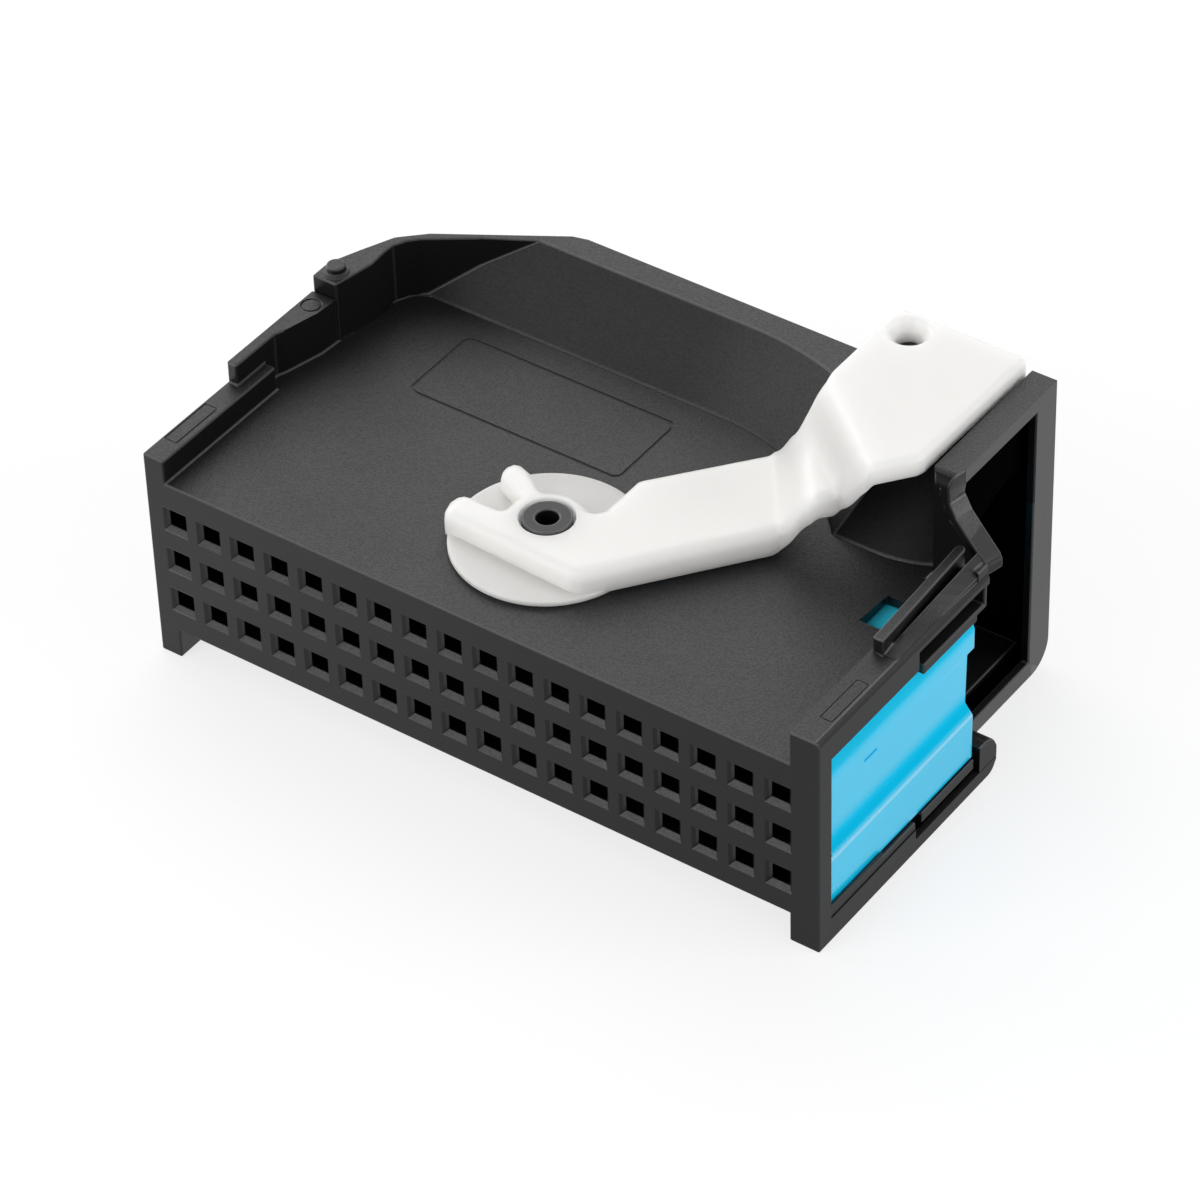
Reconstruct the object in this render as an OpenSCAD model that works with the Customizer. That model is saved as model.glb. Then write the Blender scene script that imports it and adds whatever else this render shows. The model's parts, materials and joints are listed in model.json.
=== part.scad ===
// Lever-locked automotive wiring connector: black housing with 54 contact cavities,
// black rear wire cover with a side outlet, blue contact carrier, white locking lever on a pin.
// Millimetres, +Z up, mating face towards -Y. Heights are measured from the feet.

/* [Overall] */
// width over the two side walls
body_w = 75.6; // [60:0.1:100]
// depth from the mating face to the back wall
body_d = 45.6; // [40:0.1:60]
// height of the floor plate that carries the lever
floor_z = 21.4; // [18:0.1:26]
// thickness of the floor plate
floor_t = 1.1; // [0.8:0.1:2]
// height of the underside between the feet
under_z = 3.35; // [2:0.05:5]
// thickness of the bottom plate
under_t = 1.2; // [0.8:0.1:2]

/* [Cavity grid] */
// cavities in a row
cav_cols = 18; // [4:1:24]
// rows of cavities
cav_rows = 3; // [1:1:4]
// distance between cavities in a row
pitch_x = 4; // [3:0.05:4]
// distance between rows
pitch_z = 4.95; // [4:0.05:6]
// grid centre to the left of the body centre
grid_shift = 0.6; // [0:0.1:1]
// height of the middle row
grid_z = 12.1; // [10:0.1:14]
// square opening at the mating face
lead_w = 2.85; // [2:0.05:3.4]
// square hole behind the lead-in
hole_w = 1.9; // [1.2:0.05:2.4]
// depth of the lead-in
lead_d = 0.5; // [0.3:0.05:1]
// thickness of the front wall
front_t = 2.6; // [1.6:0.1:4]

/* [Side walls] */
// thickness of the left wall and its foot
left_t = 2.4; // [1.6:0.1:4]
// top of the left rail
left_z = 24.05; // [22:0.05:26]
// length of the left rail
left_l = 17.1; // [10:0.1:24]
// top of the thin bar on the left wall
bar_z = 26.35; // [25:0.05:28]
// front end of the left bar and of the right rib
bar_y = 12.95; // [8:0.05:16]
// thickness of the left bar
bar_t = 1.1; // [0.8:0.1:2]
// thickness of the right rim and foot
right_t = 3.2; // [2:0.1:4]
// top of the right rim
right_z = 25.15; // [24:0.05:27]
// length of the slot in the right face
slot_l = 10.8; // [6:0.1:14]
// hairline seam between housing and cover
seam = 0.05; // [0.02:0.01:0.2]
// width of the front post on the right face
post_y = 1.95; // [1:0.05:4]
// underside of the right rim over the carrier
rim_under = 21.9; // [21.5:0.1:23]
// top of the right rib at its front end
rib_z = 26.9; // [26:0.05:28]
// height of the front part of the right foot rail
foot_z = 2.85; // [2:0.05:3]
// height of the right foot rail beside its channel
foot_low = 1.6; // [1:0.1:2]
// radius of the rounded end of the foot rail
foot_r = 2; // [0.5:0.1:2.4]

/* [Floor details] */
// width of the window over the carrier's latch
win_w = 2.6; // [1:0.1:4]
// length of the window over the carrier's latch
win_l = 4.2; // [2:0.1:6]
// width of the bare name plate
plate_w = 24.6; // [10:0.1:28]
// depth of the bare name plate
plate_l = 9.9; // [4:0.1:12]
// width of the name plate's groove
plate_groove = 0.3; // [0.2:0.05:0.6]

/* [Rear cover] */
// depth of the cover behind the housing
cover_l = 17.5; // [16:0.1:24]
// width of the flat rim behind the ramp
rim_w = 2.8; // [2:0.1:5]
// top of the rear rim
rim_z = 28.15; // [26:0.05:30]
// top of the roof under the lever handle
roof_z = 32.5; // [30:0.1:33]
// wall thickness of the cover
wall = 1.6; // [1.2:0.1:2.4]
// horizontal run of the ramp from the floor to the rim
ramp_run = 6; // [4:0.1:8]
// radius of the curved ramp foot behind the lever
ramp_r = 24.3; // [24:0.1:26]
// end plane of the outlet collar, in from the right wall
collar_side = 4.1; // [2:0.1:7]
// width of the collar band
collar_w = 2.7; // [1.5:0.1:4]
// top of the outlet collar
collar_z = 33.8; // [33:0.1:36]
// width of the collar's flange behind the outlet
collar_back = 3.6; // [2:0.1:5]
// height of the collar's flange over the outlet
collar_top = 1.5; // [1:0.1:2.4]
// thickness of the flange round the outlet
flange_t = 0.9; // [0.6:0.1:1.6]
// thickness of the cover's bottom
cover_floor = 2; // [1.2:0.1:3]
// outer radius of the collar's lower back corner
collar_r = 3; // [2:0.1:4]
// radius of the bulge in front of the collar
bulge_r = 12; // [8:0.1:12]
// thickness of the collar's sloped wall
strip_t = 2.1; // [1.8:0.1:3]
// depth of the recess beside the collar's sloped band
strip_in = 1.05; // [0.3:0.05:1.2]
// radius of the collar's upper front edge
strip_r = 1.2; // [0.4:0.1:1.6]
// diameter of the peg on the rim
peg_d = 1.9; // [1:0.1:2.4]
// height of the peg on the rim
peg_h = 0.9; // [0.4:0.1:1.6]

/* [Lever and pin] */
// distance of the pivot from the mating face
pivot_y = 12.9; // [11:0.1:14]
// top of the arm at the pivot
arm_z = 24.55; // [24:0.05:26]
// thickness of the arm
arm_t = 2.9; // [2:0.05:2.95]
// top of the first step of the crank
step_z = 29.7; // [28:0.1:32]
// top of the handle
handle_z = 35.2; // [35:0.1:36.5]
// thickness of the crank and handle
handle_t = 2.3; // [1.5:0.1:2.4]
// radius of the thin disc under the hub
disc_r = 9.3; // [8:0.1:11]
// thickness of the thin disc
disc_t = 0.65; // [0.4:0.05:1]
// radius of the hub round the pin
hub_r = 4.1; // [3.4:0.1:5]
// hole in the handle
pull_d = 2.6; // [1.5:0.1:4]
// countersink of the hole in the handle
pull_sink = 3.7; // [2:0.1:5]
// diameter of the pin's shank
pin_d = 4; // [3:0.1:4.4]
// diameter of the pin's head
head_d = 4.8; // [4.5:0.1:5]
// diameter of the hole through the pin
pin_hole = 2.2; // [1:0.1:2.6]
// running clearance between pin and lever, on radius
run_gap = 0.05; // [0.02:0.01:0.1]
// clearance round the pin's head, on radius
head_gap = 0.25; // [0.1:0.05:0.5]
// clearance above and below the lever's hub
side_gap = 0.1; // [0.05:0.05:0.3]

/* [Carrier] */
// clearance of the carrier in the housing
carrier_gap = 0.1; // [0.05:0.05:0.3]
// length of the carrier behind the front wall
carrier_l = 23.6; // [15:0.1:25]
// contact hole in the carrier
contact_w = 2.3; // [1.5:0.1:2.6]
// depth of the recess along the carrier's end face
band_d = 0.7; // [0.3:0.05:1]
// how far the end face lies inside the right wall
end_in = 0.5; // [0.3:0.05:1]
// edge of the shoulder along the end face
shoulder_z = 9; // [7:0.1:11]
// lower edge of the band along the end face
band_z = 17.1; // [14:0.1:18]
// underside of the end flange
end_z = 3.75; // [3.7:0.05:5]

/* [Hidden] */
// node names
hw = body_w / 2;
floor_b = floor_z - floor_t;
under_top = under_z + under_t;
rim_in = hw - right_t;
left_in = -hw + left_t;
collar_x = hw - collar_side;
collar_in = collar_x - collar_w;
shell_y = body_d - cover_l;
strip_y = shell_y - 0.2;
right_l = strip_y - 0.15;
left_end = shell_y - 1.7;
foot_l = shell_y + 1.65;
foot_y = body_d - rim_w - ramp_run;
rise = rim_z - floor_z;
slope = ramp_run / rise;
bowl_x = collar_in - 29;
bowl_y = foot_y - ramp_r;
bulge_x = collar_in - 6;
bulge_y = strip_y + 0.25 + bulge_r;
roof_x = collar_in - 18.5;
lip_z = right_z - 0.75;
pivot_x = -grid_shift;
disc_z = floor_z + side_gap;
head_h = 1.25;
head_z = arm_z - 0.05;
seat_z = head_z - head_h - side_gap;
hole_x = collar_in - 11.6;
hole_y = body_d - 2.9;
carrier_x0 = left_in + carrier_gap;
carrier_x1 = rim_in + 1;
carrier_z0 = under_top + carrier_gap;
carrier_z1 = floor_b - carrier_gap;
carrier_y0 = front_t + carrier_gap;
carrier_y1 = carrier_y0 + carrier_l;
end_x = hw - end_in;
// how far joined forms of one moulding run into each other
bond = 0.1;

// inner line of the left wall, from the housing to the rear ramp
wall_in = [[-hw + 2.8, left_end], [-hw + 3.2, left_end + 2], [-hw + 3.7, left_end + 4.6],
    [-hw + 3.55, left_end + 6.6],
    [-hw + 3.6, left_end + 8], [-hw + 4.3, foot_y - 1.05], [-hw + 5.2, foot_y - 0.1], [-hw + 10,
    foot_y + 3.2],
    [-hw + 15.4, body_d - 2.6]];
// outer line of the cover, from its left front corner to the back wall
wall_out = [[-hw, left_end], [-hw, left_end + 2.2], [-hw + 0.4, left_end + 3.5], [-hw + 1.4,
    left_end + 5.9],
    [-hw + 2.9, left_end + 9.2], [-hw + 3.5, left_end + 9.8], [-hw + 5.4, foot_y + 1.2],
    [-hw + 17.2, body_d - 0.4],
    [-hw + 18.8, body_d]];

module placed() {
    translate([0, -body_d / 2, 0]) children();
}

module block(x0, x1, y0, y1, z0, z1) {
    translate([x0, y0, z0]) cube([x1 - x0, y1 - y0, z1 - z0]);
}

// solid with an XZ outline, from y0 to y1
module along_y(y0, y1, pts) {
    translate([0, y1, 0]) rotate([90, 0, 0]) linear_extrude(y1 - y0) polygon(pts);
}

// solid with a YZ outline, from x0 to x1
module along_x(x0, x1, pts) {
    translate([x0, 0, 0]) rotate([90, 0, 90]) linear_extrude(x1 - x0) polygon(pts);
}

module at_pivot(z) {
    translate([pivot_x, pivot_y, z]) children();
}

// middle of a column and of a row
function col_x(i) = (i - (cav_cols - 1) / 2) * pitch_x - grid_shift;
function row_z(j) = grid_z + (j - (cav_rows - 1) / 2) * pitch_z;

// square holes through the front wall with four sloped lead-in faces
module front_holes() {
    a = lead_w / 2;
    b = hole_w / 2;
    intersection() {
        for (i = [0 : cav_cols - 1]) {
            translate([col_x(i), 0, under_z]) linear_extrude(floor_b - under_z)
                polygon([[-a - 0.1, -0.1], [a + 0.1, -0.1], [a, 0], [b, lead_d], [b, front_t + 1],
                    [-b, front_t + 1], [-b, lead_d], [-a, 0]]);
        }
        for (j = [0 : cav_rows - 1]) {
            translate([0, 0, row_z(j)]) along_x(-hw, hw, [[-0.1, -a - 0.1], [0, -a], [lead_d, -b],
                [front_t + 1, -b],
                [front_t + 1, b], [lead_d, b], [0, a], [-0.1, a + 0.1]]);
        }
    }
}

// region behind the ramp foot at floor level
module foot_region() {
    difference() {
        translate([-hw, bulge_y - bulge_r - seam]) square([hw + collar_in + 1, body_d]);
        translate([-hw - 1, 0]) square([hw + 1 + bowl_x, foot_y - seam]);
        intersection() {
            translate([bowl_x, bowl_y]) circle(r = ramp_r - seam, $fn = 180);
            translate([bowl_x, 0]) square([body_w, body_d]);
        }
        difference() {
            translate([bulge_x, 0]) square([body_w, bulge_y]);
            translate([bulge_x, bulge_y]) circle(r = bulge_r + seam, $fn = 180);
        }
    }
}

module floor_plate() {
    translate([0, 0, floor_b]) linear_extrude(floor_t) difference() {
        polygon(concat([[-hw, 0], [rim_in + 0.9, 0], [rim_in + 0.9, right_l], [collar_in - seam, right_l],
            [collar_in - seam, foot_y + 1], [wall_in[6][0] + 2, foot_y + 1]],
            [for (i = [6 : -1 : 1]) wall_in[i] + [seam, 0]],
            [[-hw + 3.1, shell_y - seam], [-hw, shell_y - seam]]));
        foot_region();
    }
}

module left_wall() {
    block(-hw, left_in, 0, left_l, 0, left_z);
    block(-hw, left_in, 0, shell_y - seam, 0, floor_z);
    translate([0, 0, floor_b]) linear_extrude(bar_z - floor_b)
        polygon([[-hw, bar_y], [-hw + bar_t, bar_y], [-hw + bar_t, left_end - 7.6], [-hw + 1.5,
        left_end - 6.65],
            [-hw + 2.55, left_end - 2.55], [-hw + 2.75, left_end - seam], [-hw, left_end - seam]]);
}

module right_wall() {
    slot_end = right_l - 0.85;
    slot_start = slot_end - slot_l;
    difference() {
        union() {
            block(rim_in, hw, 0, right_l, rim_under, right_z);
            block(rim_in, hw, 0, post_y, 0, right_z);
            block(hw - 0.8, hw, slot_start, right_l - 0.35, rim_under - 0.35, right_z - 1);
            block(hw - 0.8, hw, slot_start, right_l - 1.95, rim_under - 1, right_z - 1);
        }
        block(hw - 2, hw + 1, slot_start, slot_end, rim_under + 0.2, right_z - 1.15);
        block(hw - 2, hw + 1, slot_start - 0.1, slot_start + 0.8, rim_under - 2, rim_under + 0.3);
        block(hw - 1.2, hw + 1, right_l - 0.35, right_l + 1, rim_under - 1, right_z - 1.3);
        along_y(-1, right_l + 1, [[hw - 0.5, right_z], [hw - 0.5, right_z + 1], [hw + 1, right_z + 1],
            [hw + 1, right_z - 0.5], [hw, right_z - 0.5], [hw - 0.15, right_z - 0.15]]);
        translate([0, 0, right_z - 0.5]) linear_extrude(2)
            polygon([[rim_in + 1.3, bar_y + 0.3], [rim_in + 1.75, right_l + 1], [rim_in + 0.8,
            right_l + 1]]);
    }
    block(rim_in, rim_in + 0.9, 0, right_l, floor_b, right_z - 0.6);
    right_rib();
    rim_ridge();
}

// upright rib beside the floor, leaning in towards its rounded rear end
module right_rib() {
    rear = right_l - 0.15;
    intersection() {
        translate([0, 0, right_z - 0.8]) linear_extrude(rib_z - right_z + 2)
            polygon([[rim_in + 0.25, bar_y], [rim_in + 1.35, bar_y], [rim_in + 0.95, rear - 0.6],
                [rim_in + 0.8, rear - 0.2], [rim_in + 0.45, rear], [rim_in + 0.05, rear - 0.15],
                [rim_in - 0.1, rear - 0.6]]);
        along_x(rim_in - 1, hw, [[0, right_z - 1], [body_d, right_z - 1], [body_d, rib_z + 0.9],
            [bar_y, rib_z],
            [0, rib_z]]);
    }
}

// ridge on the right rim, rising from the foot of the rib towards the collar
module rim_ridge() {
    rear = right_l - 0.1;
    run = rear - bar_y;
    low = right_z - 0.6;
    steps = 10;
    points = [for (i = [0 : steps]) let (t = i / steps, y = bar_y + 0.15 + t * (run - 0.15),
        x0 = rim_in + 1.15 + 0.7 * t,
        x1 = hw - 0.5 + 0.2 * t * t * t, z0 = right_z + 0.1 + 1.9 * t,
        z1 = right_z + 0.04 + 0.44 * t * t * t)
        each [[x0, y, z0], [x1, y, z1], [x1, y, low], [x0, y, low]]];
    sides = [for (i = [0 : steps - 1]) for (k = [0 : 3]) let (a = 4 * i + k, b = 4 * i + (k + 1) % 4)
        each [[a, a + 4, b + 4], [a, b + 4, b]]];
    last = 4 * steps;
    ends = [[0, 1, 2, 3], [last + 3, last + 2, last + 1, last]];
    polyhedron(points = points, faces = concat(ends, sides));
    block(hw - 0.8, hw - 0.2, right_l - 1.6, right_l, low, right_z + 1);
}

module right_foot() {
    slot_start = post_y + 14;
    block_start = foot_l - 2.95;
    nose_z = foot_r + 0.65;
    top = end_z - 0.15;
    difference() {
        union() {
            block(rim_in, hw, 0, foot_l, 0, 0.6);
            block(hw - 0.7, hw, 0, foot_l, 0, foot_low);
            block(rim_in, hw, 0, slot_start, 0, foot_z);
            block(rim_in, hw, block_start, foot_l, 0, nose_z + foot_r);
        }
        block(hw - 0.35, hw + 1, post_y, slot_start + 0.1, foot_z - 0.1, foot_z + 1);
        block(hw - 0.15, hw + 1, block_start, foot_l + 1, foot_low - 0.05, foot_low + 0.05);
        translate([0, foot_l - foot_r, nose_z]) difference() {
            block(rim_in - 1, hw + 1, 0, foot_r + 1, 0, foot_r + 1);
            translate([rim_in - 2, 0, 0]) rotate([0, 90, 0])
                cylinder(r = foot_r, h = right_t + 4, $fn = 60);
        }
        translate([0, foot_l - 1.4, 1.4]) difference() {
            block(rim_in - 1, hw + 1, 0, 3, -3, 0);
            translate([rim_in - 2, 0, 0]) rotate([0, 90, 0]) cylinder(r = 1.4, h = right_t + 4, $fn = 60);
        }
    }
    block(rim_in, hw - 0.4, 0, slot_start, 0, top);
    block(hw - 0.45, hw - 0.1, 0, slot_start, foot_z - 0.6, top + 0.05);
    block(hw - 0.4, hw - 0.1, 0, post_y + 8.7, foot_z - 0.6, top + 0.5);
    block(rim_in, hw - 0.3, slot_start + 1.3, block_start - 0.75, top - 1.05, top);
    block(hw - 0.4, hw - 0.2, slot_start + 1.3, block_start - 0.75, top - 1.05, top + 0.2);
    block(rim_in, rim_in + 0.6, 0, block_start + 1, 0, under_top - 0.1);
}

module housing() {
    color([0.16, 0.16, 0.165]) placed() difference() {
        union() {
            block(-hw, rim_in + 0.6, 0, front_t, under_z, floor_z);
            block(-hw, rim_in + 0.6, 0, shell_y - seam, under_z, under_top);
            floor_plate();
            left_wall();
            right_wall();
            right_foot();
        }
        front_holes();
        at_pivot(floor_b - 1) cylinder(d = pin_d, h = 5, $fn = 60);
        translate([hw - 8.5, left_end - 6.8, floor_b - 1]) cube([win_w, win_l, floor_t + 2]);
        name_plate();
        rim_marks();
    }
}

// shallow groove round the bare name plate
module name_plate() {
    translate([-hw + 12.7, foot_y - plate_l - 3, floor_z - 0.15]) linear_extrude(1) difference() {
        round_rect(plate_w, plate_l, 1);
        translate([plate_groove, plate_groove])
            round_rect(plate_w - 2 * plate_groove, plate_l - 2 * plate_groove, 0.7);
    }
}

module round_rect(w, l, r) {
    translate([r, 0]) square([w - 2 * r, l]);
    translate([0, r]) square([w, l - 2 * r]);
    for (x = [r, w - r]) {
        for (y = [r, l - r]) {
            translate([x, y]) circle(r = r, $fn = 40);
        }
    }
}

// shallow marks on the rail tops
module rim_marks() {
    difference() {
        block(hw - 2.1, hw - 0.7, 3.1, 9.2, right_z - 0.15, right_z + 1);
        block(hw - 1.95, hw - 0.85, 3.25, 9.05, right_z - 1, right_z + 2);
    }
    difference() {
        block(-hw + 0.2, -hw + 1.75, 2.9, 9.2, left_z - 0.12, left_z + 1);
        block(-hw + 0.35, -hw + 1.6, 3.05, 9.05, left_z - 1, left_z + 2);
    }
    translate([-hw + 1.25, left_end - 2, bar_z - 0.15]) difference() {
        cylinder(r = 1.05, h = 1, $fn = 40);
        translate([0, 0, -1]) cylinder(r = 0.85, h = 3, $fn = 40);
    }
}

// round body, upright from z0 to z1 and sloped from there to z2
module turned(rad, z0, z1, z2, out) {
    rotate_extrude($fn = 180) polygon([[0, z0], [rad, z0], [rad, z1], [rad + (z2 - z1) * out, z2],
        [0, z2]]);
}

// body of the cover above the floor; the inset makes the hollow inside it
module duct_form(inset) {
    lift = inset * 1.35;
    low = floor_b - (inset > 0 ? 1 : 0);
    difference() {
        union() {
            translate([0, 0, low]) linear_extrude(rim_z - inset - low)
                polygon([[-hw, foot_y + lift], [roof_x + 0.5 + inset, foot_y - 10],
                [roof_x + 0.5 + inset, body_d - inset],
                    [-hw, body_d - inset]]);
            raised_form(inset, lift, low);
        }
        along_x(-hw - 10, bowl_x, [[foot_y + lift - 30, floor_b - 2], [foot_y + lift, floor_b - 2],
            [foot_y + lift, floor_z], [foot_y + lift + 30 * slope, floor_z + 30], [foot_y - 30,
            floor_z + 30]]);
        difference() {
            translate([bowl_x, bowl_y, 0]) turned(ramp_r + lift, floor_b - 2, floor_z,
                floor_z + 30, slope);
            block(bowl_x - body_w, bowl_x, -body_d, 2 * body_d, 0, 2 * body_d);
        }
    }
}

// part of the duct that rises to the collar, with its rounded front
module raised_form(inset, lift, low) {
    r0 = bulge_r - lift;
    top = roof_z - inset;
    y0 = bulge_y - r0;
    run = (top - floor_z) * slope;
    step = (top - rim_z) / 1.2;
    end = collar_in + (inset > 0 ? 1 : bond);
    intersection() {
        union() {
            along_x(roof_x - 2.5, bulge_x, [[y0, low], [body_d - inset, low], [body_d - inset,
                top], [y0 + run, top],
                [y0, floor_z]]);
            block(bulge_x, collar_in + 0.5, bulge_y, body_d - inset, low, top);
            translate([bulge_x, bulge_y, 0]) turned(r0, low, floor_z, top, -slope);
        }
        along_y(0, body_d - inset, [[roof_x - 2.5, 0], [end, 0], [end, top + 1],
            [roof_x + inset + step, top + 1],
            [roof_x + inset + step, top], [roof_x + inset, rim_z - inset - 0.1], [roof_x - 2.5,
            rim_z - inset - 0.1]]);
    }
}

module cover_side() {
    translate([0, 0, floor_z]) linear_extrude(rim_z - floor_z)
        polygon(concat(wall_out, [[-hw + 18.8, body_d - 1.6], [-hw + 16.8, body_d - 2.6]],
            [for (i = [len(wall_in) - 1 : -1 : 0]) wall_in[i]]));
    translate([-hw + 1.6, shell_y, rim_z - 0.5]) cylinder(d = peg_d, h = peg_h + 0.5, $fn = 40);
    translate([-hw + 1.6, shell_y, rim_z - 0.5]) cylinder(d = peg_d + 0.6, h = 0.7, $fn = 40);
}

// plan of the hollow inside the cover
module inner_outline(y0) {
    polygon([[-hw + 1.9, y0], [-hw + 1.9, left_end + 4.1], [-hw + 3.1, left_end + 6.8], [-hw + 4.5,
        left_end + 9.5],
        [-hw + 6.1, left_end + 10.5], [-hw + 17.7, body_d - wall], [collar_in + 1, body_d - wall],
        [collar_in + 1, y0]]);
}

// lower shell behind the housing: left wall, back wall, bottom and front lip
module cover_shell() {
    difference() {
        linear_extrude(floor_z + bond)
            polygon(concat([[-hw, shell_y]], [for (i = [1 : len(wall_out) - 1]) wall_out[i]],
                [[collar_in + bond, body_d], [collar_in + bond, shell_y]]));
        translate([0, 0, cover_floor]) linear_extrude(floor_z + 1 - cover_floor)
            inner_outline(shell_y - 1);
    }
    block(-hw + 1.6, collar_in + 0.5, shell_y, shell_y + wall, 0, under_top - 0.1);
}

module collar() {
    front = strip_y + strip_t;
    difference() {
        block(collar_in, collar_x, shell_y, body_d, 0, collar_z);
        block(collar_in - 1, collar_x + 1, shell_y - 1, body_d - collar_back, cover_floor,
            collar_z - collar_top);
        block(collar_in - 1, collar_x - flange_t, shell_y - 1, body_d - wall, cover_floor - 0.7,
            collar_z - 0.95);
        block(collar_in - 1, collar_x + 1, shell_y - 1, front - bond, lip_z - 1, collar_z + 1);
    }
}

// wall that closes the collar in front of the bulge
module collar_end() {
    difference() {
        block(collar_in, collar_in + 0.9, strip_y + strip_t - bond, body_d - 1, floor_b, collar_z - 0.5);
        intersection() {
            duct_form(wall);
            linear_extrude(2 * rim_z) inner_outline(0);
        }
    }
}

// room of the collar's sloped wall from y0 backwards, rounded at its upper front edge
module strip_room(y0) {
    r = min(strip_r, strip_y + strip_t - y0 - 0.05);
    arc = [for (i = [0 : 6]) [y0 + r - r * cos(15 * i), collar_z - r + r * sin(15 * i)]];
    along_x(collar_in, hw, concat([[y0, 0]], arc, [[strip_y + strip_t, collar_z],
        [strip_y + strip_t, 0]]));
}

// solid with an XZ outline at the back of the sloped wall, running forward and inward
module swept(pts) {
    turn = 14;
    translate([collar_x, strip_y + strip_t, 0]) rotate([0, 0, -turn])
        along_y(-strip_t - 2, 2, [for (p = pts) [(p[0] - collar_x) * cos(turn), p[1]]]);
}

// sloped front wall of the collar with a band standing out along its edge
module strip_wall() {
    edge = [[collar_x, collar_z + 1], [collar_x, collar_z - 1.4], [hw - 4.02, collar_z - 2.7],
        [hw - 3.3, collar_z - 4.15], [hw - 2.15, collar_z - 5.55], [hw - 0.75, right_z + 1.45],
        [hw - 0.25, right_z + 0.85], [hw, right_z + 0.25]];
    inner = [[hw - 0.9, lip_z], [hw - 1.3, lip_z + 1.5], [hw - 2.5, collar_z - 6.3],
        [hw - 3.8, collar_z - 4.7], [hw - 4.6, collar_z - 3.1], [hw - 4.9, collar_z - 1.8],
        [hw - 5, collar_z - 1.2], [collar_in - 2, collar_z - 1.2], [collar_in - 2, collar_z + 1]];
    low = [[hw, lip_z], [hw - 2.2, lip_z], [hw - 3.3, lip_z - 0.8], [hw - 3.3, floor_z]];
    intersection() {
        swept(concat([[collar_in - 2, floor_z], [collar_in - 2, collar_z + 1]], edge, low));
        strip_room(strip_y + strip_in);
    }
    intersection() {
        swept(concat(edge, [[hw, lip_z]], inner));
        strip_room(strip_y);
        linear_extrude(2 * rim_z) polygon([[collar_in - 1, strip_y + 2.5], [collar_in + 0.7, strip_y],
            [hw, strip_y - 1], [hw + 1, body_d], [collar_in - 1, body_d]]);
    }
    strip_studs();
}

// two small blocks and a thin curved lip in the recess beside the band
module strip_studs() {
    y0 = strip_y + 0.15;
    y1 = strip_y + strip_in + bond;
    block(hw - 5.75, hw - 5.15, y0, y1, collar_z - 2.45, collar_z - 1.5);
    block(hw - 5.25, hw - 4.55, y0, y1, collar_z - 3.85, collar_z - 3.25);
    along_y(y0, y1, [[hw - 4.7, collar_z - 4.7], [hw - 4.5, collar_z - 4.8], [hw - 3.5, collar_z - 5.65],
        [hw - 2.4, collar_z - 6.2], [hw - 2.4, collar_z - 6.45], [hw - 3.65, collar_z - 5.9],
        [hw - 4.6, collar_z - 5]]);
}

module wire_cover() {
    color([0.15, 0.15, 0.155]) placed() difference() {
        union() {
            difference() {
                union() {
                    difference() {
                        duct_form(0);
                        outside_outline();
                    }
                    cover_shell();
                }
                intersection() {
                    duct_form(wall);
                    linear_extrude(2 * rim_z) inner_outline(0);
                }
            }
            cover_side();
            collar();
            collar_end();
            strip_wall();
        }
        back_corner();
    }
}

// everything outside the chamfered left back corner
module outside_outline() {
    linear_extrude(2 * rim_z) polygon(concat([[-body_w, left_end - 5], [-hw - 5, left_end]],
        [for (i = [1 : len(wall_out) - 1]) wall_out[i]], [[-hw + 18.8, 2 * body_d], [-body_w,
        2 * body_d]]));
}

// rounded lower back corner of the cover
module back_corner() {
    difference() {
        block(-hw - 1, hw + 1, body_d - collar_r, body_d + 1, -1, collar_r);
        translate([-hw - 2, body_d - collar_r, collar_r]) rotate([0, 90, 0])
            cylinder(r = collar_r, h = body_w + 4, $fn = 90);
    }
}

module contact_holes() {
    c = contact_w / 2;
    for (i = [0 : cav_cols - 1]) {
        for (j = [0 : cav_rows - 1]) {
            translate([col_x(i), 0, row_z(j)]) block(-c, c, 0, carrier_y1 + 1, -c, c);
        }
    }
}

module contact_carrier() {
    color([0.3, 0.78, 0.91]) placed() difference() {
        union() {
            block(carrier_x0, carrier_x1, carrier_y0, carrier_y1, carrier_z0, carrier_z1);
            along_y(post_y + 0.15, carrier_y1, [[rim_in + 0.75, end_z], [end_x, end_z],
                [end_x, shoulder_z], [end_x - band_d - 0.15, shoulder_z + 1.1], [end_x - band_d,
                band_z - 0.1],
                [end_x, band_z], [end_x, floor_b - 0.8], [end_x - 0.9, floor_z], [rim_in + 1, floor_z],
                [rim_in + 1, carrier_z1], [rim_in + 0.75, carrier_z1]]);
        }
        contact_holes();
        block(end_x - band_d - 0.4, end_x + 1, 9.2, 11.2, band_z - 1.4, band_z - 0.05);
    }
}

// corners of the crank's steps on the inner side and on the outer side
inner_1 = [collar_in - 19.6, body_d - 13.05, arm_z];
outer_1 = [collar_in - 12.55, body_d - 22.6, arm_z];
inner_2 = [collar_in - 16.2, body_d - 14.3, step_z];
outer_2 = [collar_in - 9.45, body_d - 22.5, step_z];
outer_3 = [collar_in - 7.6, body_d - 20.5, step_z];
inner_4 = [collar_in - 14.5, body_d - 12.45, handle_z];
outer_4 = [collar_in - 3.8, body_d - 21.55, handle_z];

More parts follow.
